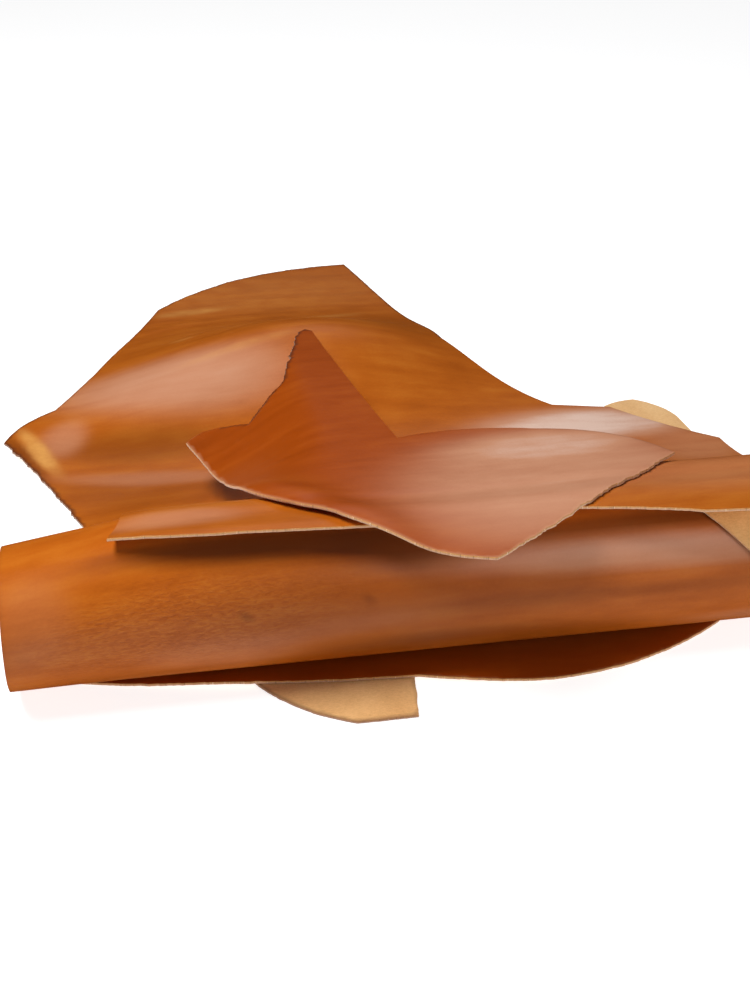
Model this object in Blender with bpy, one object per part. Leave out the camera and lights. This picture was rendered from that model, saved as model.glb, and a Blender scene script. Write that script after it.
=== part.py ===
"""Oil wax leather: one rolled piece with a big sheet draped over it and four cut pieces round it.

Metres, +Z up. The roll lies along X and the big sheet runs down behind it, towards +Y. The origin
is below the roll's axis, on the flat underside of the lowest piece, where the heap rests.

Every sheet is a flat cut pattern. Its first measure, x, runs along the roll. Its second, run, is
the way along the leather from the crest of the roll: minus in front of the crest, plus behind it.
"""

import math

import bpy
from mathutils import Vector
from mathutils.geometry import delaunay_2d_cdt

MM = 0.001

# Leather
THICK = 2.0 * MM
GAP = 0.45 * MM
LAYER = THICK + GAP
DENSE_EDGE = 8.0 * MM

# Roll: a wound piece, its outer end low at the back
ROLL_R = 46.0 * MM
ROLL_TURNS = 4
ROLL_SEGMENTS = 44
LAP_ANGLE = math.radians(100.0)
LAP_EASE = math.radians(90.0)
AXIS_Z = 2.0 * LAYER + ROLL_R

# Roll sections: x, how far the top has sagged (mm)
ROLL_SECTIONS = (
    (-221.0, 14.8),
    (-200.0, 11.0),
    (-176.0, 6.8),
    (-160.0, 3.4),
    (-142.0, 1.2),
    (-115.0, 0.0),
    (20.0, 0.0),
    (160.0, 0.0),
    (300.0, 0.0),
)

# Fall of the leather behind the roll: x (mm), leaving angle (degrees), radius into the floor (mm)
FALLS = (
    (-190.0, 41.0, 200.0),
    (-120.0, 33.0, 255.0),
    (-40.0, 29.0, 330.0),
    (120.0, 30.0, 300.0),
    (260.0, 35.0, 220.0),
)
SHEET_SAG_SHARE = 0.85

# In front of the crest: the loose sheets stand off like a brim, and the side offcut wraps the roll
BRIM_LIFT, BRIM_REACH = 5.0 * MM, 30.0 * MM
WRAP_R = 48.5 * MM

# Swells of the big sheet where it lies behind the roll: x, y, half length, half width in front of
# the ridge and behind it, height (mm)
SWELLS = (
    (-5.0, 382.0, 140.0, 82.0, 92.0, 49.0),
    (-150.0, 318.0, 75.0, 34.0, 60.0, 10.0),
    (-235.0, 300.0, 40.0, 60.0, 60.0, 4.0),
)

# Left side of the side offcut, which lifts the sheets above it: x at the crest, lean, fade width
SIDE_EDGE_X = 160.0 * MM
SIDE_EDGE_LEAN = 0.17
SIDE_MARGIN = 5.0 * MM
SIDE_FADE = 120.0 * MM

# Top offcut: nearly straight behind the crest, with its left wing and its tongue bent down
TOP_FALL = (7.2, 20.0)
WING_START_X, WING_WIDTH = -20.0 * MM, 90.0 * MM
WING_LENGTH = 150.0 * MM
WING_DROP = 36.0 * MM
TONGUE_START, TONGUE_LENGTH = 230.0 * MM, 140.0 * MM
TONGUE_DROP = 2.0 * MM

# Lower offcut: lifted where it crosses the base offcut, settling to the floor on both sides
LIFT_LEFT, LIFT_RIGHT, LIFT_FADE = -96.0 * MM, 20.0 * MM, 70.0 * MM

# Cut patterns: corner x, corner run, how far the side to the next corner swells outward (mm)
BIG_SHEET = (
    (-162.0, -19.0, 3.5),
    (-92.0, -31.0, 0.0),
    (-15.0, -37.0, 0.0),
    (90.0, -37.0, -1.0),
    (158.0, -55.0, 1.0),
    (306.0, -66.0, 3.0),
    (286.0, 250.0, -2.0),
    (221.0, 313.0, 0.0),
    (177.0, 320.0, -7.0),
    (111.0, 420.0, 4.0),
    (69.0, 677.0, 24.0),
    (-115.0, 586.0, 0.0),
    (-171.0, 425.0, -1.0),
    (-202.0, 362.0, 5.0),
    (-239.0, 321.0, -4.0),
    (-183.0, 197.0, 0.0),
    (-158.0, 60.0, 0.0),
    (-153.0, 28.0, 0.0),
    (-155.0, 5.0, 0.0),
)
TOP_OFFCUT = (
    (-109.0, 218.0, -1.0),
    (-91.0, 112.0, 1.0),
    (-86.0, 38.0, 5.0),
    (-62.0, -2.0, 1.0),
    (-4.0, -65.0, 3.0),
    (35.0, -85.0, 2.0),
    (169.0, 23.0, 12.0),
    (102.0, 88.0, 9.0),
    (16.0, 93.0, -2.0),
    (-1.0, 366.0, 0.0),
    (-6.0, 372.0, 0.0),
    (-12.0, 364.0, 0.0),
    (-38.0, 242.0, 0.0),
    (-67.0, 199.0, 1.0),
    (-85.0, 226.0, 1.0),
    (-97.0, 233.0, 2.0),
)
SIDE_OFFCUT = (
    (158.0, -18.0, 0.0),
    (200.0, -62.0, 0.0),
    (292.0, -56.0, 0.0),
    (270.0, 290.0, 6.0),
    (246.0, 331.0, 2.0),
    (220.0, 322.0, 0.0),
)
LOWER_OFFCUT = (
    (-184.0, -8.0, 5.0),
    (5.0, -37.0, 25.0),
    (196.0, -8.0, 6.0),
    (175.0, 66.0, 10.0),
    (-165.0, 60.0, 6.0),
)
BASE_OFFCUT = (
    (-92.0, -16.0, 7.0),
    (-36.0, -71.0, 0.0),
    (-2.0, -71.0, 0.0),
    (16.0, 62.0, 0.0),
    (-80.0, 58.0, 0.0),
)

# Spacing of the mesh inside a pattern: rows near the crest, rows elsewhere, columns
CREST_REACH = 70.0 * MM
CREST_ROWS, FAR_ROWS, COLUMNS = 8.0 * MM, 22.0 * MM, 26.0 * MM

# Colours: the smooth oiled grain side and the raw flesh side
GRAIN = (0.42, 0.115, 0.018)
DEEP_GRAIN = (0.27, 0.062, 0.012)
FLESH = (0.60, 0.32, 0.12)


def smooth(t):
    """Ease from 0 to 1 with level ends."""
    t = min(max(t, 0.0), 1.0)
    return t * t * (3.0 - 2.0 * t)


def along(table, x):
    """Values of a table at x, read in a straight line between its rows."""
    x = x / MM
    if x <= table[0][0]:
        return table[0][1:]
    for low, high in zip(table, table[1:]):
        if x <= high[0]:
            t = (x - low[0]) / (high[0] - low[0])
            return tuple(a + (b - a) * t for a, b in zip(low[1:], high[1:]))
    return table[-1][1:]


def crest_height(x):
    """Height of the leather that lies on the roll's crest."""
    return AXIS_Z + ROLL_R + GAP - SHEET_SAG_SHARE * along(ROLL_SECTIONS, x)[0] * MM


def brim_path(x, run):
    """Point (y, z) and upward normal (y, z) in front of the crest, where the leather stands off."""
    t = min(-run / BRIM_REACH, 1.0)
    slope = 6.0 * t * (1.0 - t) * BRIM_LIFT / BRIM_REACH
    length = math.hypot(slope, 1.0)
    return run, crest_height(x) + BRIM_LIFT * smooth(t), slope / length, 1.0 / length


def wrap_path(x, run):
    """Point (y, z) and upward normal (y, z) in front of the crest, where the leather wraps the roll."""
    a = run / WRAP_R
    return WRAP_R * math.sin(a), crest_height(x) - WRAP_R * (1.0 - math.cos(a)), math.sin(a), math.cos(a)


def fall_path(x, run, fall):
    """Point (y, z) and upward normal (y, z) on the way from the crest back and down to the floor."""
    radius = ROLL_R + GAP
    crest = crest_height(x)
    leave = math.radians(fall[0])
    floor_r = fall[1] * MM
    if run < radius * leave:
        a = run / radius
        return radius * math.sin(a), crest - radius * (1.0 - math.cos(a)), math.sin(a), math.cos(a)
    run -= radius * leave
    y = radius * math.sin(leave)
    z = crest - radius * (1.0 - math.cos(leave))
    ramp = (z - floor_r * (1.0 - math.cos(leave))) / math.sin(leave)
    straight = min(run, ramp)
    y += straight * math.cos(leave)
    z -= straight * math.sin(leave)
    if run < ramp:
        return y, z, math.sin(leave), math.cos(leave)
    a = max(leave - (run - ramp) / floor_r, 0.0)
    y += floor_r * (math.sin(leave) - math.sin(a)) + max(run - ramp - floor_r * leave, 0.0)
    return y, floor_r * (1.0 - math.cos(a)), math.sin(a), math.cos(a)


def lift_off(x, path, distance):
    """Place of a point that far off a path, along its normal."""
    y, z, normal_y, normal_z = path
    return Vector((x, y + normal_y * distance, z + normal_z * distance))


def side_cover(x, run):
    """1 where the side offcut lies underneath, easing to 0 to its left."""
    edge = SIDE_EDGE_X + SIDE_EDGE_LEAN * max(run, 0.0)
    return smooth((x - edge + SIDE_MARGIN + SIDE_FADE) / SIDE_FADE)


def place_big_sheet(x, run, up):
    """The big sheet: over the roll and the side offcut, then along the floor in low swells."""
    path = fall_path(x, run, along(FALLS, x)) if run > 0.0 else brim_path(x, run)
    swell = 0.0
    for row in SWELLS:
        centre_x, centre_y, half_x, front_y, back_y, height = (value * MM for value in row)
        half_y = front_y if path[0] < centre_y else back_y
        swell += height * math.exp(-((x - centre_x) / half_x) ** 2 - ((path[0] - centre_y) / half_y) ** 2)
    return lift_off(x, path, LAYER * side_cover(x, run) + swell + up)


def place_top_offcut(x, run, up):
    """The top offcut: on the big sheet's crest, reaching back almost straight to its swell."""
    path = fall_path(x, run, TOP_FALL) if run > 0.0 else brim_path(x, run)
    wing = smooth((WING_START_X - x) / WING_WIDTH) * smooth(run / WING_LENGTH)
    tongue = smooth((run - TONGUE_START) / TONGUE_LENGTH)
    drop = WING_DROP * wing + TONGUE_DROP * tongue
    return lift_off(x, path, LAYER * (1.0 + side_cover(x, run)) - drop + up)


def place_side_offcut(x, run, up):
    """The side offcut: close over the roll, in front too, and down behind it."""
    path = fall_path(x, run, along(FALLS, x)) if run > 0.0 else wrap_path(x, run)
    return lift_off(x, path, up)


def place_lower_offcut(x, run, up):
    """The lower offcut: on the floor, its middle over the base offcut."""
    lift = smooth((x - LIFT_LEFT) / LIFT_FADE + 1.0) * smooth((LIFT_RIGHT - x) / LIFT_FADE + 1.0)
    return Vector((x, run, LAYER * lift + up))


def place_base_offcut(x, run, up):
    """The base offcut: flat on the floor."""
    return Vector((x, run, up))


def cut_line(pattern):
    """Points round a cut pattern, its sides swelling from their chords."""
    points = []
    for (x, run, swell), (next_x, next_run, _) in zip(pattern, pattern[1:] + pattern[:1]):
        start = Vector((x, run)) * MM
        side = Vector((next_x, next_run)) * MM - start
        outward = Vector((side.y, -side.x)).normalized()
        count = max(1, round(side.length / DENSE_EDGE))
        for k in range(count):
            t = k / count
            points.append(start + side * t + outward * (4.0 * swell * MM * t * (1.0 - t)))
    return points


def inside(line, point, margin):
    """True where a point lies within a closed line and at least a margin from it."""
    crossings = 0
    for start, end in zip(line, line[1:] + line[:1]):
        side = end - start
        t = min(max((point - start).dot(side) / side.length_squared, 0.0), 1.0)
        if (start + side * t - point).length < margin:
            return False
        if (start.y > point.y) != (end.y > point.y):
            crossings += point.x < start.x + side.x * (point.y - start.y) / side.y
    return crossings % 2 == 1


def fill_points(line):
    """Mesh points inside a pattern, in closer rows where the leather bends over the crest."""
    points = []
    run = min(p.y for p in line)
    while run < max(p.y for p in line):
        rows = CREST_ROWS if abs(run) < CREST_REACH else FAR_ROWS
        run += rows
        x = min(p.x for p in line)
        while x < max(p.x for p in line):
            point = Vector((x, run))
            if inside(line, point, 0.6 * rows):
                points.append(point)
            x += COLUMNS
    return points


def add_object(name, vertices, faces, colour, roughness, smooth_angle):
    """A closed mesh object with its own leather material."""
    mesh = bpy.data.meshes.new(name)
    mesh.from_pydata(vertices, [], faces)
    mesh.shade_smooth()
    mesh.set_sharp_from_angle(angle=smooth_angle)
    material = bpy.data.materials.new(name + "_leather")
    material.use_nodes = True
    shader = material.node_tree.nodes["Principled BSDF"]
    shader.inputs["Base Color"].default_value = (*colour, 1.0)
    shader.inputs["Roughness"].default_value = roughness
    shader.inputs["Metallic"].default_value = 0.0
    mesh.materials.append(material)
    piece = bpy.data.objects.new(name, mesh)
    bpy.context.collection.objects.link(piece)
    return piece


def add_sheet(name, pattern, place, colour, roughness):
    """A cut pattern filled with triangles, put in place on both sides and closed round its edge."""
    line = cut_line(pattern)
    points = line + fill_points(line)
    edges = [(k, (k + 1) % len(line)) for k in range(len(line))]
    flat, _, faces, _, _, _ = delaunay_2d_cdt(points, edges, [], 1, 1e-7)
    count = len(flat)
    vertices = [place(p.x, p.y, 0.0) for p in flat] + [place(p.x, p.y, THICK) for p in flat]
    sides = {(a, b) for face in faces for a, b in zip(face, face[1:] + face[:1])}
    walls = [(a, b, b + count, a + count) for a, b in sides if (b, a) not in sides]
    under = [tuple(reversed(face)) for face in faces]
    upper = [tuple(k + count for k in face) for face in faces]
    return add_object(name, vertices, under + upper + sorted(walls), colour, roughness, math.radians(50.0))


def wound_radius(turn):
    """Outer radius after a share of the outer turn, which ducks under the outer end as it closes."""
    return ROLL_R - LAYER * smooth((turn * math.tau - math.tau + LAP_EASE) / LAP_EASE)


def add_roll(name, colour, roughness):
    """The wound piece as one thick tube, with a step where each end of the leather lies."""
    wall = (ROLL_TURNS - 1) * LAYER + THICK
    ring = 2 * (ROLL_SEGMENTS + 1)
    vertices = []
    for x, sag in ROLL_SECTIONS:
        for inset in (0.0, wall):
            for k in range(ROLL_SEGMENTS + 1):
                turn = k / ROLL_SEGMENTS
                angle = LAP_ANGLE - turn * math.tau
                radius = wound_radius(turn) - inset
                height = (ROLL_R + radius * math.cos(angle)) * (1.0 - 0.5 * sag * MM / ROLL_R)
                vertices.append((x * MM, radius * math.sin(angle), AXIS_Z - ROLL_R + height))
    inner = ROLL_SEGMENTS + 1
    faces = []
    for section in range(len(ROLL_SECTIONS) - 1):
        here, there = section * ring, (section + 1) * ring
        for k in range(ROLL_SEGMENTS):
            faces.append((here + k, here + k + 1, there + k + 1, there + k))
            faces.append((here + inner + k + 1, here + inner + k, there + inner + k, there + inner + k + 1))
        last = ROLL_SEGMENTS
        faces.append((here + last, here, there, there + last))
        faces.append((here + inner, here + inner + last, there + inner + last, there + inner))
    far = (len(ROLL_SECTIONS) - 1) * ring
    for k in range(ROLL_SEGMENTS):
        loop = [k + 1, k, inner + k, inner + k + 1]
        if k == 0:
            loop = [k + 1, k, ROLL_SEGMENTS, inner + k, inner + k + 1]
        if k == ROLL_SEGMENTS - 1:
            loop = [k + 1, k, inner + k, inner + k + 1, inner]
        faces.append(tuple(loop))
        faces.append(tuple(far + v for v in reversed(loop)))
    return add_object(name, vertices, faces, colour, roughness, math.radians(40.0))


def main():
    for old in list(bpy.data.objects):
        bpy.data.objects.remove(old, do_unlink=True)
    add_roll("roll", GRAIN, 0.4)
    add_sheet("big_sheet", BIG_SHEET, place_big_sheet, GRAIN, 0.38)
    add_sheet("top_offcut", TOP_OFFCUT, place_top_offcut, DEEP_GRAIN, 0.36)
    add_sheet("side_offcut", SIDE_OFFCUT, place_side_offcut, FLESH, 0.9)
    add_sheet("lower_offcut", LOWER_OFFCUT, place_lower_offcut, DEEP_GRAIN, 0.4)
    add_sheet("base_offcut", BASE_OFFCUT, place_base_offcut, FLESH, 0.9)


main()
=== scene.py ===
"""Oil wax leather, dressed: a wound roll, a big sheet draped over it and four more cut pieces.

Metres, +Z up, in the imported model's own frame. The roll lies along X, the big sheet runs down
behind it towards +Y, and the floor is at zero.

Every piece is a flat cut pattern laid in place. Its first measure, x, runs along the roll. Its
second, run, is the way along the leather from the roll's crest: minus in front, plus behind. Each
piece keeps both as its own map, so that grain, creases and wear follow the leather.
"""

import math

import bpy
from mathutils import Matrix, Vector, noise
from mathutils.geometry import delaunay_2d_cdt
from mathutils.kdtree import KDTree


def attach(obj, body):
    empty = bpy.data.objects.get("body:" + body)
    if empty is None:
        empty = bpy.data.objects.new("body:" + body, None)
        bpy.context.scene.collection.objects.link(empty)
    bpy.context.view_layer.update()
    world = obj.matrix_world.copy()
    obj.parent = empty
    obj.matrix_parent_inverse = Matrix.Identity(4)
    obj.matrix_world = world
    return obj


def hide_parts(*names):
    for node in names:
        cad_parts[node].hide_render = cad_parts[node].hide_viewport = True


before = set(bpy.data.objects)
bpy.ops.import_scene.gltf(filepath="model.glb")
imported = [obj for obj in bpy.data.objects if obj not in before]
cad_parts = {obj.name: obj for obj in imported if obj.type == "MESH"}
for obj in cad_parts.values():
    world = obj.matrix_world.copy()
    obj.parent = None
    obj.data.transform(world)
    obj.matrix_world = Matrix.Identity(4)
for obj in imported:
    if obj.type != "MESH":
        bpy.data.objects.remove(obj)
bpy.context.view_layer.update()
bpy.ops.object.select_all(action="DESELECT")

MM = 0.001

# Leather
THICK = 2.0 * MM
GAP = 0.45 * MM
LAYER = THICK + GAP

# Roll: a wound piece, its outer end low at the back
ROLL_R = 46.0 * MM
ROLL_TURNS = 4
LAP_ANGLE = math.radians(100.0)
LAP_EASE = math.radians(90.0)
AXIS_Z = 2.0 * LAYER + ROLL_R
ROLL_STEPS_A_TURN = 72
ROLL_STEP_X = 5.6 * MM
ROLL_END_UNEVEN = 1.6 * MM
ROLL_DENT = 0.35 * MM

# Roll sections: x, how far the top has sagged (mm)
ROLL_SECTIONS = (
    (-221.0, 14.8),
    (-200.0, 11.0),
    (-176.0, 6.8),
    (-160.0, 3.4),
    (-142.0, 1.2),
    (-115.0, 0.0),
    (20.0, 0.0),
    (160.0, 0.0),
    (300.0, 0.0),
)

# Fall of the leather behind the roll: x (mm), leaving angle (degrees), radius into the floor (mm)
FALLS = (
    (-190.0, 41.0, 200.0),
    (-120.0, 33.0, 255.0),
    (-40.0, 29.0, 330.0),
    (120.0, 30.0, 300.0),
    (260.0, 35.0, 220.0),
)
SHEET_SAG_SHARE = 0.85

# In front of the crest: the loose sheets stand off like a brim, and the side offcut wraps the roll
BRIM_LIFT, BRIM_REACH = 5.0 * MM, 30.0 * MM
WRAP_R = 48.5 * MM

# Swells of the big sheet where it lies behind the roll: x, y, half length, half width in front of
# the ridge and behind it, height (mm)
SWELLS = (
    (-5.0, 382.0, 140.0, 82.0, 92.0, 49.0),
    (-150.0, 318.0, 75.0, 34.0, 60.0, 10.0),
    (-235.0, 300.0, 40.0, 60.0, 60.0, 4.0),
)

# Left side of the side offcut, which lifts the sheets above it: x at the crest, lean, fade width
SIDE_EDGE_X = 160.0 * MM
SIDE_EDGE_LEAN = 0.17
SIDE_MARGIN = 5.0 * MM
SIDE_FADE = 120.0 * MM

# Top offcut: nearly straight behind the crest, with its left wing and its tongue bent down
TOP_FALL = (7.2, 20.0)
WING_START_X, WING_WIDTH = -20.0 * MM, 90.0 * MM
WING_LENGTH = 150.0 * MM
WING_DROP = 36.0 * MM
TONGUE_START, TONGUE_LENGTH = 230.0 * MM, 140.0 * MM
TONGUE_DROP = 2.0 * MM

# Lower offcut: lifted where it crosses the base offcut, settling to the floor on both sides
LIFT_LEFT, LIFT_RIGHT, LIFT_FADE = -96.0 * MM, 20.0 * MM, 70.0 * MM

# Cut patterns. Each row is a corner and the side that follows it: corner x, corner run, how far the
# side swells outward, how ragged it is (all mm), and its rim's tone from -1, dark, to 1, pale
BIG_SHEET = (
    (-162.0, -19.0, 3.5, 0.6, 0.5),
    (-92.0, -31.0, 0.0, 0.6, 0.4),
    (-15.0, -37.0, 0.0, 0.6, 0.4),
    (90.0, -37.0, -1.0, 0.8, 0.4),
    (158.0, -55.0, 1.0, 0.5, 0.4),
    (306.0, -66.0, 3.0, 0.3, 0.0),
    (286.0, 250.0, -2.0, 0.3, -0.4),
    (221.0, 313.0, 0.0, 0.3, -0.4),
    (177.0, 320.0, -7.0, 0.3, -0.4),
    (111.0, 420.0, 4.0, 0.4, -0.8),
    (69.0, 677.0, 24.0, 1.6, -0.9),
    (-115.0, 586.0, 0.0, 0.4, -0.7),
    (-171.0, 425.0, -1.0, 0.3, -0.7),
    (-202.0, 362.0, 5.0, 0.7, -0.9),
    (-239.0, 321.0, -4.0, 2.6, -1.0),
    (-183.0, 197.0, 0.0, 0.5, -0.7),
    (-158.0, 60.0, 0.0, 0.0, 0.0),
    (-153.0, 28.0, 0.0, 0.0, 0.0),
    (-155.0, 5.0, 0.0, 0.3, 0.0),
)
TOP_OFFCUT = (
    (-109.0, 218.0, -1.0, 0.3, 0.8),
    (-91.0, 112.0, 1.0, 0.3, 0.8),
    (-86.0, 38.0, 5.0, 0.3, 0.8),
    (-62.0, -2.0, 1.0, 0.3, 0.8),
    (-4.0, -65.0, 3.0, 0.4, 0.8),
    (35.0, -85.0, 2.0, 2.4, 0.7),
    (169.0, 23.0, 12.0, 0.3, -0.5),
    (102.0, 88.0, 9.0, 0.3, 0.2),
    (16.0, 93.0, -2.0, 0.3, 0.2),
    (-1.0, 366.0, 0.0, 0.3, -0.8),
    (-6.0, 372.0, 0.0, 0.3, -0.9),
    (-12.0, 364.0, 0.0, 3.0, -1.0),
    (-38.0, 242.0, 0.0, 2.6, -1.0),
    (-67.0, 199.0, 1.0, 1.2, -0.8),
    (-85.0, 226.0, 1.0, 0.5, -0.3),
    (-97.0, 233.0, 2.0, 0.4, 0.5),
)
SIDE_OFFCUT = (
    (158.0, -18.0, 0.0, 0.2, 0.6),
    (200.0, -62.0, 0.0, 0.2, 0.4),
    (292.0, -56.0, 0.0, 0.3, 0.0),
    (270.0, 290.0, 6.0, 0.4, 0.0),
    (246.0, 331.0, 2.0, 0.4, 0.0),
    (220.0, 322.0, 0.0, 0.3, 0.0),
)
LOWER_OFFCUT = (
    (-184.0, -8.0, 5.0, 1.0, 0.5),
    (5.0, -37.0, 25.0, 1.0, 0.7),
    (196.0, -8.0, 6.0, 0.3, 0.0),
    (175.0, 66.0, 10.0, 0.3, 0.0),
    (-165.0, 60.0, 6.0, 0.3, 0.0),
)
BASE_OFFCUT = (
    (-92.0, -16.0, 7.0, 0.8, -0.7),
    (-36.0, -71.0, 0.0, 0.6, -0.7),
    (-2.0, -71.0, 0.0, 0.8, -0.5),
    (16.0, 62.0, 0.0, 0.3, 0.0),
    (-80.0, 58.0, 0.0, 0.3, 0.0),
)

# Mesh spacing inside a pattern and along its cut edge
STEP = 3.5 * MM
EDGE_STEP = 1.6 * MM

# Profile of a cut edge from the upper face down: share of the thickness, outward bulge (mm)
EDGE_PROFILE = (
    (0.90, 0.00),
    (0.66, 0.16),
    (0.34, 0.14),
    (0.08, 0.00),
)
FIBRE_LIFT = 0.22 * MM

# How fast a cut line wanders, is nicked and frays, in waves a metre
EDGE_WANDER, EDGE_NICK, EDGE_FRAY = 90.0, 420.0, 700.0

# Faces that meet at more than this stay sharp
SHARP_ANGLE = math.radians(48.0)

# Soft creases raised in a piece: from x, run to x, run, half width, height (mm)
SHEET_CREASES = (
    (-130.0, 440.0, 60.0, 520.0, 9.0, 1.0),
    (-140.0, 520.0, -70.0, 545.0, 7.0, 0.7),
)
TOP_CREASES = (
    (-92.0, 60.0, 5.0, -78.0, 16.0, 3.6),
)

# Soft oval spots of painted sheen, painted shade with a few small dark marks, wear or wrinkles: x,
# run, half length, half width (mm), turn (degrees), amount
SPOT_KINDS = ("painted_sheen", "shade_and_marks", "worn", "wrinkle")
ROLL_SPOTS = {
    # Painted sheen on the roll: pale bands where light glances off its grain
    "painted_sheen": (
        (155.0, 128.0, 135.0, 10.0, 1.0, 1.0),
        (240.0, 181.0, 70.0, 8.0, 0.0, 0.4),
        (-105.0, 168.0, 44.0, 13.0, 0.0, 0.18),
        (-45.0, 158.0, 50.0, 7.0, -6.0, 0.12),
        (-205.0, 130.0, 22.0, 26.0, 0.0, 0.15),
    ),
    # Painted shade on the roll, mostly under the brim of the sheets above it, and three small dark
    # marks
    "shade_and_marks": (
        (-75.0, 105.0, 92.0, 10.0, 1.0, 1.0),
        (20.0, 114.0, 62.0, 13.0, 0.0, 0.85),
        (190.0, 109.0, 120.0, 7.0, -1.0, 0.8),
        (150.0, 150.0, 150.0, 4.0, 0.0, 0.2),
        (-10.0, 148.0, 115.0, 32.0, -2.0, 0.36),
        (30.0, 178.0, 100.0, 12.0, 0.0, 0.55),
        (-212.0, 152.0, 2.0, 3.0, 0.0, 0.8),
        (-92.0, 144.0, 3.0, 3.0, 0.0, 0.4),
        (-23.0, 143.0, 2.0, 5.0, -20.0, 0.35),
    ),
    "wrinkle": ((-125.0, 145.0, 85.0, 26.0, -4.0, 1.0),),
}
SHEET_SPOTS = {
    # Painted sheen on the big sheet: on its swell, its right side and its crest
    "painted_sheen": (
        (-108.0, 367.0, 92.0, 38.0, -8.0, 0.95),
        (-196.0, 318.0, 16.0, 22.0, -30.0, 0.5),
        (-130.0, 257.0, 70.0, 10.0, -9.0, 0.35),
        (190.0, 285.0, 85.0, 26.0, 4.0, 1.8),
        (262.0, 240.0, 40.0, 40.0, 0.0, 0.45),
        (200.0, -5.0, 90.0, 30.0, 0.0, 0.3),
        (-125.0, -4.0, 38.0, 13.0, 0.0, 0.45),
    ),
    # Painted shade on the big sheet in the hollow behind the roll, and a darker band along its left
    # tip
    "shade_and_marks": (
        (-130.0, 236.0, 78.0, 32.0, -12.0, 0.3),
        (-140.0, 300.0, 72.0, 20.0, -5.0, 0.46),
        (-224.0, 300.0, 40.0, 6.0, -64.0, 0.6),
    ),
    "worn": (
        (-213.0, 304.0, 34.0, 7.0, -66.0, 0.8),
        (-55.0, 389.0, 50.0, 5.0, 8.0, 0.22),
        (30.0, 520.0, 32.0, 8.0, 20.0, 0.3),
        (-87.0, 572.0, 32.0, 8.0, 8.0, 0.4),
        (-101.0, 453.0, 9.0, 7.0, 0.0, 0.3),
        (-20.0, 610.0, 120.0, 60.0, 0.0, 0.12),
    ),
}
TOP_SPOTS = {
    # Painted sheen over the top piece's right part
    "painted_sheen": ((94.0, 5.0, 96.0, 80.0, 25.0, 1.0), (95.0, 60.0, 60.0, 24.0, 0.0, 0.5)),
}

# The photograph's view
PHOTO_WIDTH, PHOTO_HEIGHT = 750.0, 1000.0
VIEW_AZIMUTH = math.radians(-9.85)
VIEW_ELEVATION = math.radians(28.5)
VIEW_DISTANCE = 931.4 * MM
VIEW_TARGET = Vector((0.0, 80.6, 54.6)) * MM
VIEW_WIDTH_ANGLE = math.radians(28.0)
SENSOR_HEIGHT = 24.0

# Tones of the grain side, from the deepest to the palest
ROLL_TONES = ((0.29, 0.052, 0.002), (0.45, 0.102, 0.005), (0.58, 0.175, 0.014))
SHEET_TONES = ((0.28, 0.055, 0.003), (0.42, 0.100, 0.006), (0.55, 0.170, 0.015))
# Grain tones darkened for shade: a shaded copy of the grain, painted shade on the top and lower
# pieces
SHADED_TONES = ((0.24, 0.036, 0.001), (0.33, 0.055, 0.002), (0.42, 0.090, 0.005))
# Painted sheen: a pink waxy tone, and a paler painted highlight for the strongest sheen
PAINTED_SHEEN_TONE = (0.55, 0.255, 0.145)
PAINTED_HIGHLIGHT_TONE = (0.74, 0.52, 0.42)
WORN_GOLD = (0.64, 0.30, 0.070)
RIM_DARK = (0.090, 0.022, 0.008)
RIM_PALE = (0.66, 0.36, 0.20)

# Tones of the flesh side and the cut edge
FLESH_TONES = ((0.60, 0.305, 0.100), (0.76, 0.43, 0.165), (0.88, 0.55, 0.240))
EDGE_GOLD = (0.60, 0.285, 0.075)
EDGE_PALE = (0.62, 0.345, 0.195)
EDGE_FIBRE = (0.94, 0.76, 0.540)
EDGE_FLECK = (0.17, 0.055, 0.018)


def smooth(t):
    """Ease from 0 to 1 with level ends."""
    t = min(max(t, 0.0), 1.0)
    return t * t * (3.0 - 2.0 * t)


def along(table, x):
    """Values of a table at x, read in a straight line between its rows."""
    x = x / MM
    if x <= table[0][0]:
        return table[0][1:]
    for low, high in zip(table, table[1:]):
        if x <= high[0]:
            t = (x - low[0]) / (high[0] - low[0])
            return tuple(a + (b - a) * t for a, b in zip(low[1:], high[1:]))
    return table[-1][1:]


def crest_height(x):
    """Height of the leather that lies on the roll's crest."""
    return AXIS_Z + ROLL_R + GAP - SHEET_SAG_SHARE * along(ROLL_SECTIONS, x)[0] * MM


def brim_path(x, run):
    """Point (y, z) and upward normal (y, z) in front of the crest, where the leather stands off."""
    t = min(-run / BRIM_REACH, 1.0)
    slope = 6.0 * t * (1.0 - t) * BRIM_LIFT / BRIM_REACH
    length = math.hypot(slope, 1.0)
    return run, crest_height(x) + BRIM_LIFT * smooth(t), slope / length, 1.0 / length


def wrap_path(x, run):
    """Point (y, z) and upward normal (y, z) in front of the crest, where the leather wraps it."""
    a = run / WRAP_R
    z = crest_height(x) - WRAP_R * (1.0 - math.cos(a))
    return WRAP_R * math.sin(a), z, math.sin(a), math.cos(a)


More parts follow.
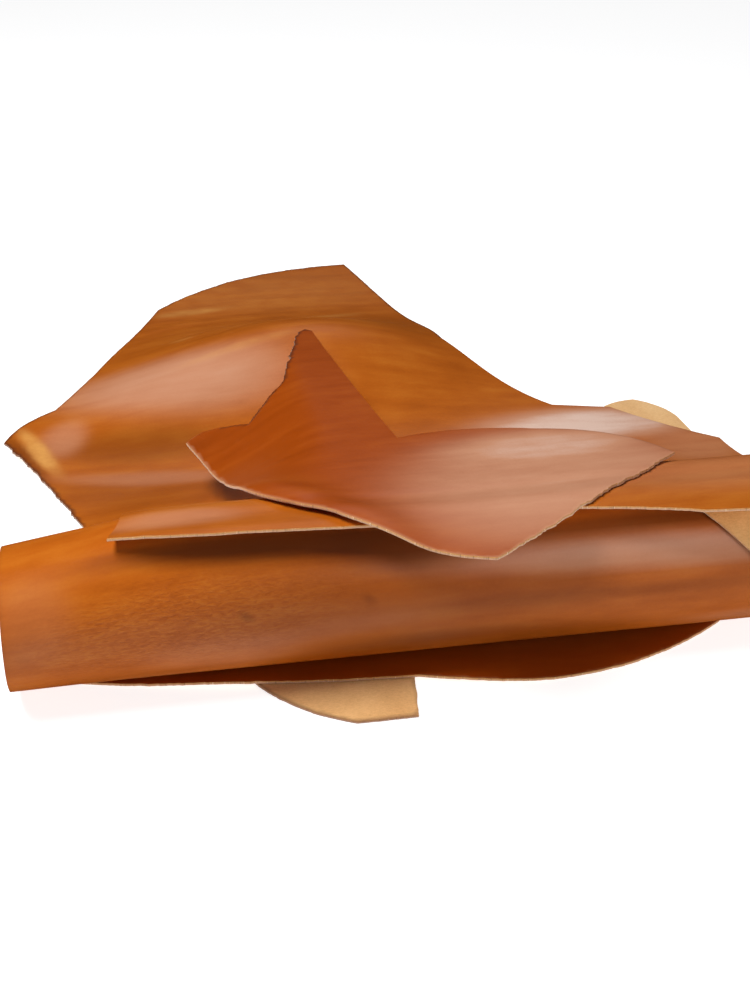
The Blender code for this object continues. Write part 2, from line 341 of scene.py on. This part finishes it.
def fall_path(x, run, fall):
    """Point (y, z) and upward normal (y, z) on the way from the crest back down to the floor."""
    radius = ROLL_R + GAP
    crest = crest_height(x)
    leave = math.radians(fall[0])
    floor_r = fall[1] * MM
    if run < radius * leave:
        a = run / radius
        return radius * math.sin(a), crest - radius * (1.0 - math.cos(a)), math.sin(a), math.cos(a)
    run -= radius * leave
    y = radius * math.sin(leave)
    z = crest - radius * (1.0 - math.cos(leave))
    ramp = (z - floor_r * (1.0 - math.cos(leave))) / math.sin(leave)
    straight = min(run, ramp)
    y += straight * math.cos(leave)
    z -= straight * math.sin(leave)
    if run < ramp:
        return y, z, math.sin(leave), math.cos(leave)
    a = max(leave - (run - ramp) / floor_r, 0.0)
    y += floor_r * (math.sin(leave) - math.sin(a)) + max(run - ramp - floor_r * leave, 0.0)
    return y, floor_r * (1.0 - math.cos(a)), math.sin(a), math.cos(a)


def lift_off(x, path, distance):
    """Place of a point that far off a path, along its normal."""
    y, z, normal_y, normal_z = path
    return Vector((x, y + normal_y * distance, z + normal_z * distance))


def side_cover(x, run):
    """1 where the side offcut lies underneath, easing to 0 to its left."""
    edge = SIDE_EDGE_X + SIDE_EDGE_LEAN * max(run, 0.0)
    return smooth((x - edge + SIDE_MARGIN + SIDE_FADE) / SIDE_FADE)


def crease_height(creases, x, run):
    """Height of the soft creases at a point of the pattern."""
    point = Vector((x, run)) / MM
    height = 0.0
    for from_x, from_run, to_x, to_run, half_width, ridge in creases:
        start = Vector((from_x, from_run))
        way = Vector((to_x, to_run)) - start
        t = min(max((point - start).dot(way) / way.length_squared, 0.0), 1.0)
        off = (start + way * t - point).length / half_width
        height += ridge * MM * math.exp(-off * off) * smooth(4.0 * t) * smooth(4.0 * (1.0 - t))
    return height


def place_big_sheet(x, run, up):
    """The big sheet: over the roll and the side offcut, then along the floor in low swells."""
    path = fall_path(x, run, along(FALLS, x)) if run > 0.0 else brim_path(x, run)
    swell = crease_height(SHEET_CREASES, x, run)
    for row in SWELLS:
        centre_x, centre_y, half_x, front_y, back_y, height = (value * MM for value in row)
        half_y = front_y if path[0] < centre_y else back_y
        along_ridge, across_ridge = (x - centre_x) / half_x, (path[0] - centre_y) / half_y
        swell += height * math.exp(-along_ridge ** 2 - across_ridge ** 2)
    return lift_off(x, path, LAYER * side_cover(x, run) + swell + up)


def place_top_offcut(x, run, up):
    """The top offcut: on the big sheet's crest, then back to its swell, its front left lifted."""
    path = fall_path(x, run, TOP_FALL) if run > 0.0 else brim_path(x, run)
    wing = smooth((WING_START_X - x) / WING_WIDTH) * smooth(run / WING_LENGTH)
    tongue = smooth((run - TONGUE_START) / TONGUE_LENGTH)
    drop = WING_DROP * wing + TONGUE_DROP * tongue - crease_height(TOP_CREASES, x, run)
    return lift_off(x, path, LAYER * (1.0 + side_cover(x, run)) - drop + up)


def place_side_offcut(x, run, up):
    """The side offcut: close over the roll, in front too, and down behind it."""
    path = fall_path(x, run, along(FALLS, x)) if run > 0.0 else wrap_path(x, run)
    return lift_off(x, path, up)


def place_lower_offcut(x, run, up):
    """The lower offcut: on the floor, its middle over the base offcut."""
    lift = smooth((x - LIFT_LEFT) / LIFT_FADE + 1.0) * smooth((LIFT_RIGHT - x) / LIFT_FADE + 1.0)
    return Vector((x, run, LAYER * lift + up))


def place_base_offcut(x, run, up):
    """The base offcut: flat on the floor."""
    return Vector((x, run, up))


def cut_line(pattern):
    """Points round a cut pattern as the knife left it, and each point's rim tone."""
    points, rims = [], []
    for row, following in zip(pattern, pattern[1:] + pattern[:1]):
        x, run, swell, ragged, rim = row
        start = Vector((x, run)) * MM
        side = Vector(following[:2]) * MM - start
        outward = Vector((side.y, -side.x)).normalized()
        count = max(1, round(side.length / EDGE_STEP))
        for k in range(count):
            t = k / count
            point = start + side * t
            wander = noise.noise((point * EDGE_WANDER).to_3d())
            nick = noise.noise((point * EDGE_NICK).to_3d() + Vector((0.0, 0.0, 7.0)))
            rough = ragged * (0.6 * wander + 0.5 * nick) * min(1.0, 8.0 * t, 8.0 * (1.0 - t))
            points.append(point + outward * MM * (4.0 * swell * t * (1.0 - t) + rough))
            rims.append(rim)
    return points, rims


def lay_out(line):
    """Mesh points inside a cut line, in rows, none closer to the line than most of a step."""
    edge = KDTree(len(line))
    for k, point in enumerate(line):
        edge.insert((point.x, point.y, 0.0), k)
    edge.balance()
    points = []
    low, high = min(p.y for p in line), max(p.y for p in line)
    for row in range(math.ceil(low / STEP), math.floor(high / STEP) + 1):
        run = row * STEP
        crossings = sorted(
            start.x + (end.x - start.x) * (run - start.y) / (end.y - start.y)
            for start, end in zip(line, line[1:] + line[:1])
            if (start.y > run) != (end.y > run)
        )
        for left, right in zip(crossings[::2], crossings[1::2]):
            for column in range(math.ceil(left / STEP), math.floor(right / STEP) + 1):
                if edge.find((column * STEP, run, 0.0))[2] > 0.7 * STEP:
                    points.append(Vector((column * STEP, run)))
    return points


def spot_share(spots, x, run):
    """Sum of soft oval spots: x, run, half length, half width (mm), turn (degrees), amount."""
    total = 0.0
    for centre_x, centre_run, half_length, half_width, turn, amount in spots:
        across, back = x / MM - centre_x, run / MM - centre_run
        c, s = math.cos(math.radians(turn)), math.sin(math.radians(turn))
        u = (across * c + back * s) / half_length
        v = (back * c - across * s) / half_width
        total += amount * math.exp(-((u * u + v * v) ** 2))
    return total


def spot_values(spots, points, on_edge):
    """Point values of each kind of spot: alike on both faces, none at the points on the edge."""
    values = {}
    for kind in SPOT_KINDS:
        numbers = [spot_share(spots.get(kind, ()), *point) for point in points]
        values[kind] = numbers * 2 + [0.0] * on_edge
    return values


def leather_piece(name, vertices, faces, kinds, pattern_points, values, materials):
    """A mesh piece with its map and point values, and its upper, edge and lower materials."""
    mesh = bpy.data.meshes.new(name)
    mesh.from_pydata(vertices, [], faces)
    mesh.polygons.foreach_set("material_index", kinds)
    layer = mesh.uv_layers.new(name="cut")
    loop_vertices = [0] * len(mesh.loops)
    mesh.loops.foreach_get("vertex_index", loop_vertices)
    layer.data.foreach_set("uv", [c for k in loop_vertices for c in pattern_points[k]])
    for value_name, numbers in values.items():
        mesh.attributes.new(value_name, "FLOAT", "POINT").data.foreach_set("value", numbers)
    mesh.shade_smooth()
    mesh.set_sharp_from_angle(angle=SHARP_ANGLE)
    for material in materials:
        mesh.materials.append(material)
    piece = bpy.data.objects.new(name, mesh)
    bpy.context.collection.objects.link(piece)
    return piece


def cut_sheet(name, pattern, place, spots, materials):
    """A cut pattern laid in place: upper face, lower face and a cut edge between them."""
    line, rims = cut_line(pattern)
    flat, _, faces, _, _, _ = delaunay_2d_cdt(
        line + lay_out(line), [(k, (k + 1) % len(line)) for k in range(len(line))], [], 1, 1e-7
    )
    rim_count, count = len(line), len(flat)
    top_share, bottom_share = EDGE_PROFILE[0][0], EDGE_PROFILE[-1][0]
    top = [top_share if k < rim_count else 1.0 for k in range(count)]
    bottom = [bottom_share if k < rim_count else 0.0 for k in range(count)]
    vertices = [place(p.x, p.y, THICK * share) for p, share in zip(flat * 2, top + bottom)]
    points = [tuple(p) for p in flat] * 2
    through = [1.0] * count + [0.0] * count
    rings = [range(rim_count)]
    for share, bulge in EDGE_PROFILE[1:-1]:
        rings.append(range(len(vertices), len(vertices) + rim_count))
        for k in range(rim_count):
            way = line[(k + 1) % rim_count] - line[k - 1]
            outward = Vector((way.y, -way.x)).normalized()
            fray = noise.noise((line[k] * EDGE_FRAY).to_3d() + Vector((0.0, 0.0, share * 9.0)))
            point = line[k] + outward * (bulge * MM + FIBRE_LIFT * fray)
            vertices.append(place(point.x, point.y, THICK * share))
            points.append(tuple(point))
            through.append(share)
    rings.append(range(count, count + rim_count))
    sheet_faces = [tuple(face) for face in faces]
    under_faces = [tuple(k + count for k in reversed(face)) for face in faces]
    edge_faces = [
        (high[k], low[k], low[(k + 1) % rim_count], high[(k + 1) % rim_count])
        for high, low in zip(rings, rings[1:])
        for k in range(rim_count)
    ]
    kinds = [0] * len(sheet_faces) + [2] * len(under_faces) + [1] * len(edge_faces)
    rim = [0.0] * len(vertices)
    for ring in rings:
        for k, vertex in enumerate(ring):
            rim[vertex] = rims[k]
    values = {"through": through, "rim": rim}
    values.update(spot_values(spots, points[:count], len(vertices) - 2 * count))
    faces = sheet_faces + under_faces + edge_faces
    return leather_piece(name, vertices, faces, kinds, points, values, materials)


def wound_radius(turn):
    """Outer radius after that many turns: each turn ducks under the one before as it closes."""
    whole = min(math.floor(turn), ROLL_TURNS - 1)
    closing = ((turn - whole) * math.tau - math.tau + LAP_EASE) / LAP_EASE
    return ROLL_R - LAYER * (whole + smooth(closing))


def roll_point(x, turn, inset):
    """Place of a point of the wound leather, that deep under its grain side."""
    angle = LAP_ANGLE - turn * math.tau
    hollow = noise.noise(Vector((x * 9.0, math.cos(angle) * 0.9, math.sin(angle) * 0.9)))
    radius = wound_radius(turn) - inset - ROLL_DENT * (1.0 + hollow)
    sag = along(ROLL_SECTIONS, x)[0] * MM
    height = (ROLL_R + radius * math.cos(angle)) * (1.0 - 0.5 * sag / ROLL_R)
    return Vector((x, radius * math.sin(angle), AXIS_Z - ROLL_R + height))


def wind_roll(name, spots, materials):
    """The wound piece: one sheet in four turns, grain side out, a little uneven at its ends."""
    left, right = ROLL_SECTIONS[0][0] * MM, ROLL_SECTIONS[-1][0] * MM
    columns = round((right - left) / ROLL_STEP_X)
    steps = ROLL_TURNS * ROLL_STEPS_A_TURN
    flat, outer, inner = [], [], []
    run = 0.0
    for k in range(steps + 1):
        turn = k / ROLL_STEPS_A_TURN
        run += wound_radius(turn) * math.tau / ROLL_STEPS_A_TURN if k else 0.0
        uneven = [
            ROLL_END_UNEVEN * noise.noise(Vector((turn * 1.7, end, 3.0))) for end in (5.0, 10.0)
        ]
        for column in range(columns + 1):
            t = column / columns
            x = left + (right - left) * t + uneven[0] * (1.0 - t) + uneven[1] * t
            flat.append((x, run))
            outer.append(roll_point(x, turn, 0.0))
            inner.append(roll_point(x, turn, THICK))
    count, row = len(flat), columns + 1
    grain = [
        (k * row + c, (k + 1) * row + c, (k + 1) * row + c + 1, k * row + c + 1)
        for k in range(steps)
        for c in range(columns)
    ]
    raw = [tuple(v + count for v in reversed(face)) for face in grain]
    rim_line = [k * row for k in range(steps)]
    rim_line += [steps * row + c for c in range(columns)]
    rim_line += [k * row + columns for k in range(steps, 0, -1)]
    rim_line += list(range(columns, 0, -1))
    cut = [(b, b + count, a + count, a) for a, b in zip(rim_line, rim_line[1:] + rim_line[:1])]
    kinds = [0] * len(grain) + [2] * len(raw) + [1] * len(cut)
    rim = [0.0] * (2 * count)
    for vertex in rim_line:
        rim[vertex] = -0.4
    values = {"through": [1.0] * count + [0.0] * count, "rim": rim}
    values.update(spot_values(spots, flat, 0))
    faces = grain + raw + cut
    return leather_piece(name, outer + inner, faces, kinds, flat * 2, values, materials)


class Finish:
    """A new material with short ways to add and join its nodes."""

    def __init__(self, name):
        self.material = bpy.data.materials.new(name)
        self.material.use_nodes = True
        self.tree = self.material.node_tree
        self.shader = self.tree.nodes["Principled BSDF"]

    def node(self, kind, settings=(), **inputs):
        """A node with its settings made and its inputs set or joined."""
        node = self.tree.nodes.new("ShaderNode" + kind)
        for setting, value in dict(settings).items():
            setattr(node, setting, value)
        for name, value in inputs.items():
            self.feed(node, int(name[1:]) if name[0] == "_" else name.replace("_", " "), value)
        return node

    def feed(self, node, name, value):
        """Sets an input, or joins an output to it."""
        if isinstance(value, bpy.types.NodeSocket):
            self.tree.links.new(value, node.inputs[name])
        else:
            node.inputs[name].default_value = value

    def map(self, stretch=(1.0, 1.0), turn=0.0):
        """The piece's own map in metres, stretched and turned for a pattern."""
        cut = self.node("UVMap", {"uv_map": "cut"}).outputs["UV"]
        mapping = self.node("Mapping", Vector=cut, Scale=(*stretch, 1.0), Rotation=(0.0, 0.0, turn))
        return mapping.outputs["Vector"]

    def value(self, name):
        """One of the piece's point values."""
        return self.node("Attribute", {"attribute_name": name}).outputs["Fac"]

    def noise(self, place, scale, detail=3.0, rough=0.55, twist=0.0):
        """A soft random pattern, from 0 to 1."""
        return self.node(
            "TexNoise", Vector=place, Scale=scale, Detail=detail, Roughness=rough, Distortion=twist
        ).outputs["Fac"]

    def sum(self, *parts):
        """Sum of outputs, each times its share."""
        total = None
        for output, share in parts:
            part = self.node("Math", {"operation": "MULTIPLY"}, _0=output, _1=share).outputs[0]
            if total is not None:
                part = self.node("Math", {"operation": "ADD"}, _0=total, _1=part).outputs[0]
            total = part
        return total

    def span(self, output, low, high, to_low, to_high):
        """An output's span, moved to another span and held in it."""
        return self.node(
            "MapRange", _0=output, _1=low, _2=high, _3=to_low, _4=to_high
        ).outputs[0]

    def product(self, first, second):
        """One output times another."""
        return self.node("Math", {"operation": "MULTIPLY"}, _0=first, _1=second).outputs[0]

    def tones(self, output, colours, places):
        """Colours read along an output."""
        ramp = self.node("ValToRGB", Fac=output)
        stops = ramp.color_ramp.elements
        while len(stops) < len(colours):
            stops.new(0.5)
        for stop, colour, place in zip(stops, colours, places):
            stop.position = place
            stop.color = (*colour, 1.0)
        return ramp.outputs["Color"]

    def blend(self, share, first, second):
        """A mix of two colours."""
        mix = self.node("Mix", {"data_type": "RGBA"}, _0=share)
        for index, colour in ((6, first), (7, second)):
            value = colour if isinstance(colour, bpy.types.NodeSocket) else (*colour, 1.0)
            self.feed(mix, index, value)
        return mix.outputs[2]

    def bump(self, height, strength, distance, under=None):
        """Relief from a height, over the relief under it."""
        node = self.node("Bump", Height=height, Strength=strength, Distance=distance)
        if under is not None:
            self.feed(node, "Normal", under)
        return node.outputs["Normal"]

    def surface(self, **inputs):
        """Sets or joins the shader's inputs."""
        for name, value in inputs.items():
            self.feed(self.shader, name.replace("_", " "), value)


def oiled_grain(name, tones):
    """Smooth oiled and waxed grain: cloudy dye, fine pores, soft wrinkles, painted shade and a few
    dark marks, painted sheen and highlight, wear and rims.
    """
    f = Finish(name)
    place = f.map()
    cloud = f.noise(place, 8.0, 3.0, 0.5, 0.3)
    mottle = f.noise(place, 46.0, 4.0, 0.6)
    drawn = f.noise(f.map((1.0, 5.0), 0.12), 16.0, 4.0, 0.6, 0.2)
    speck = f.noise(place, 520.0, 2.0, 0.6)
    folds = f.noise(f.map((1.0, 3.4), 0.2), 210.0, 3.0, 0.65, 0.8)
    creased = f.product(f.span(folds, 0.35, 0.65, -0.5, 0.5), f.value("wrinkle"))
    tone = f.sum((cloud, 0.32), (mottle, 0.16), (drawn, 0.42), (speck, 0.10), (creased, 0.22))
    colour = f.tones(tone, tones, (0.24, 0.50, 0.78))
    # Painted shade: the dye darkened in the shade, and at a few small dark marks
    shade_and_mark_tone = tuple(0.45 * level for level in tones[0])
    colour = f.blend(f.span(f.value("shade_and_marks"), 0.0, 1.0, 0.0, 1.0), colour, shade_and_mark_tone)
    # Painted sheen: a pink waxy tone where the leather shows a sheen, and a paler painted highlight
    # where it is strongest
    painted_sheen = f.product(f.value("painted_sheen"), f.span(tone, 0.35, 0.6, 0.75, 1.1))
    colour = f.blend(f.span(painted_sheen, 0.0, 1.0, 0.0, 1.0), colour, PAINTED_SHEEN_TONE)
    colour = f.blend(f.span(painted_sheen, 1.0, 1.8, 0.0, 1.0), colour, PAINTED_HIGHLIGHT_TONE)
    worn = f.product(f.value("worn"), f.span(mottle, 0.35, 0.6, 0.6, 1.2))
    colour = f.blend(f.span(worn, 0.0, 1.0, 0.0, 1.0), colour, WORN_GOLD)
    rim = f.value("rim")
    colour = f.blend(f.span(rim, -0.25, -0.95, 0.0, 0.85), colour, RIM_DARK)
    colour = f.blend(f.span(rim, 0.35, 0.95, 0.0, 0.5), colour, RIM_PALE)
    pores = f.node("TexVoronoi", Vector=place, Scale=760.0, Randomness=1.0).outputs["Distance"]
    folds = f.product(folds, f.span(f.value("wrinkle"), 0.0, 1.0, 0.12, 1.0))
    normal = f.bump(pores, 0.10, 0.15 * MM)
    normal = f.bump(folds, 0.8, 0.6 * MM, normal)
    normal = f.bump(mottle, 0.25, 0.8 * MM, normal)
    f.surface(
        Base_Color=colour,
        Roughness=f.span(tone, 0.35, 0.65, 0.34, 0.44),
        Normal=normal,
        Specular_IOR_Level=0.35,
        Coat_Weight=0.15,
        Coat_Roughness=0.30,
    )
    return f.material


def raw_flesh(name):
    """Raw flesh side: short soft nap, flecked, with faint brushed stripes."""
    f = Finish(name)
    place = f.map()
    cloud = f.noise(place, 22.0, 4.0, 0.6, 0.2)
    nap = f.noise(f.map((1.0, 2.2), 0.6), 380.0, 4.0, 0.7, 0.4)
    fleck = f.noise(place, 900.0, 2.0, 0.7)
    tone = f.sum((cloud, 0.45), (nap, 0.35), (fleck, 0.20))
    colour = f.tones(tone, FLESH_TONES, (0.34, 0.50, 0.66))
    rim = f.value("rim")
    colour = f.blend(f.span(rim, -0.25, -0.95, 0.0, 0.85), colour, RIM_DARK)
    colour = f.blend(f.span(rim, 0.35, 0.95, 0.0, 0.65), colour, RIM_PALE)
    normal = f.bump(nap, 0.7, 0.35 * MM)
    normal = f.bump(fleck, 0.5, 0.2 * MM, normal)
    f.surface(
        Base_Color=colour,
        Roughness=0.92,
        Normal=normal,
        Sheen_Weight=0.35,
        Sheen_Roughness=0.5,
    )
    return f.material


def cut_edge(name):
    """Cut edge: dyed gold under the grain, paler fibres below, with torn flecks."""
    f = Finish(name)
    place = f.map()
    through = f.value("through")
    fibres = f.noise(place, 760.0, 3.0, 0.7)
    band = f.sum((through, 0.75), (fibres, 0.5))
    colour = f.tones(band, (EDGE_PALE, EDGE_PALE, EDGE_GOLD), (0.0, 0.62, 0.80))
    colour = f.blend(f.span(fibres, 0.60, 0.68, 0.0, 0.9), colour, EDGE_FIBRE)
    flecks = f.noise(place, 640.0, 2.0, 0.6)
    colour = f.blend(f.span(flecks, 0.56, 0.72, 0.0, 0.6), colour, EDGE_FLECK)
    colour = f.blend(f.span(f.value("rim"), -0.25, -0.95, 0.0, 0.8), colour, EDGE_FLECK)
    normal = f.bump(fibres, 0.9, 0.5 * MM)
    f.surface(
        Base_Color=colour,
        Roughness=0.85,
        Normal=normal,
        Sheen_Weight=0.25,
        Sheen_Roughness=0.6,
    )
    return f.material


def add_floor():
    """A plain pale floor, no part of the leather."""
    bpy.ops.mesh.primitive_plane_add(size=9.0, location=(0.0, 1.0, -0.2 * MM))
    floor = bpy.context.active_object
    floor.name = "studio_floor"
    f = Finish("studio_white")
    f.surface(
        Base_Color=(0.50, 0.50, 0.51, 1.0),
        Roughness=0.9,
        Emission_Color=(1.0, 1.0, 1.0, 1.0),
        Emission_Strength=0.82,
    )
    floor.data.materials.append(f.material)
    floor.visible_glossy = False


def add_light(name, place, size, power, lights=True, mirrored=True):
    """A soft rectangular lamp that faces the heap, and lights it, shows in its gloss, or both."""
    place = Vector(place)
    turn = (VIEW_TARGET - place).to_track_quat("-Z", "Y").to_euler()
    bpy.ops.object.light_add(type="AREA", location=place, rotation=turn)
    lamp = bpy.context.active_object
    lamp.name = name
    lamp.data.shape = "RECTANGLE"
    lamp.data.size, lamp.data.size_y = size
    lamp.data.energy = power
    lamp.visible_diffuse = lights
    lamp.visible_glossy = mirrored


def add_studio():
    """A wide lamp above the left, a weak one low at the right and two gloss panels, in dim air."""
    world = bpy.data.worlds.new("studio_air")
    bpy.context.scene.world = world
    world.use_nodes = True
    background = world.node_tree.nodes["Background"]
    background.inputs["Color"].default_value = (1.0, 1.0, 1.0, 1.0)
    background.inputs["Strength"].default_value = 0.14
    world.cycles_visibility.glossy = False
    add_light("top_lamp", (-0.65, 0.1, 1.35), (1.0, 0.5), 26.0, mirrored=False)
    add_light("side_fill", (0.9, -1.0, 0.6), (0.5, 0.5), 4.5, mirrored=False)
    add_light("back_panel", (0.3, 2.4, 1.7), (1.0, 1.2), 2.5, lights=False)
    add_light("front_panel", (0.75, -1.5, 1.25), (0.8, 0.5), 4.0, lights=False)


def add_camera():
    """The photograph's view."""
    back = Vector((
        math.sin(VIEW_AZIMUTH) * math.cos(VIEW_ELEVATION),
        -math.cos(VIEW_AZIMUTH) * math.cos(VIEW_ELEVATION),
        math.sin(VIEW_ELEVATION),
    ))
    turn = (-back).to_track_quat("-Z", "Y").to_euler()
    bpy.ops.object.camera_add(location=VIEW_TARGET + back * VIEW_DISTANCE, rotation=turn)
    camera = bpy.context.active_object
    camera.data.sensor_fit = "VERTICAL"
    camera.data.sensor_height = SENSOR_HEIGHT
    half_height = math.tan(VIEW_WIDTH_ANGLE / 2.0) * PHOTO_HEIGHT / PHOTO_WIDTH
    camera.data.lens = SENSOR_HEIGHT / 2.0 / half_height
    camera.data.clip_start = 0.05
    bpy.context.scene.camera = camera


def stand_in(piece, node, slot, held, *rests_on):
    """Puts a piece in its solid's place: hangs it under the root and hides the solid."""
    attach(piece, "root")
    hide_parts(node)


def dress_heap():
    """All six pieces, each in place of its solid."""
    roll_grain = oiled_grain("roll_grain", ROLL_TONES)
    sheet_grain = oiled_grain("sheet_grain", SHEET_TONES)
    # A shaded copy of the grain: painted shade for the top and lower pieces, which lie in shade
    dark_grain = oiled_grain("dark_grain", SHADED_TONES)
    flesh = raw_flesh("flesh")
    edge = cut_edge("cut_edge")
    grain_up, shaded_up = (sheet_grain, edge, flesh), (dark_grain, edge, flesh)
    roll = wind_roll("wound_roll", ROLL_SPOTS, (roll_grain, edge, flesh))
    big = cut_sheet("draped_sheet", BIG_SHEET, place_big_sheet, SHEET_SPOTS, grain_up)
    top = cut_sheet("top_piece", TOP_OFFCUT, place_top_offcut, TOP_SPOTS, shaded_up)
    side = cut_sheet("side_piece", SIDE_OFFCUT, place_side_offcut, {}, (flesh, edge, sheet_grain))
    lower = cut_sheet("lower_piece", LOWER_OFFCUT, place_lower_offcut, {}, shaded_up)
    base = cut_sheet("base_piece", BASE_OFFCUT, place_base_offcut, {}, (flesh, edge, dark_grain))
    stand_in(roll, "roll", "roll_grain", "folded", "lower_piece")
    stand_in(big, "big_sheet", "sheet_grain", "draped", "wound_roll", "side_piece")
    stand_in(top, "top_offcut", "dark_grain", "draped", "draped_sheet")
    stand_in(side, "side_offcut", "flesh", "draped", "wound_roll")
    stand_in(lower, "lower_offcut", "dark_grain", "laid", "base_piece")
    stand_in(base, "base_offcut", "flesh", "laid", "studio_floor")


bpy.context.scene.view_settings.view_transform = "Standard"
add_floor()
add_studio()
dress_heap()
add_camera()
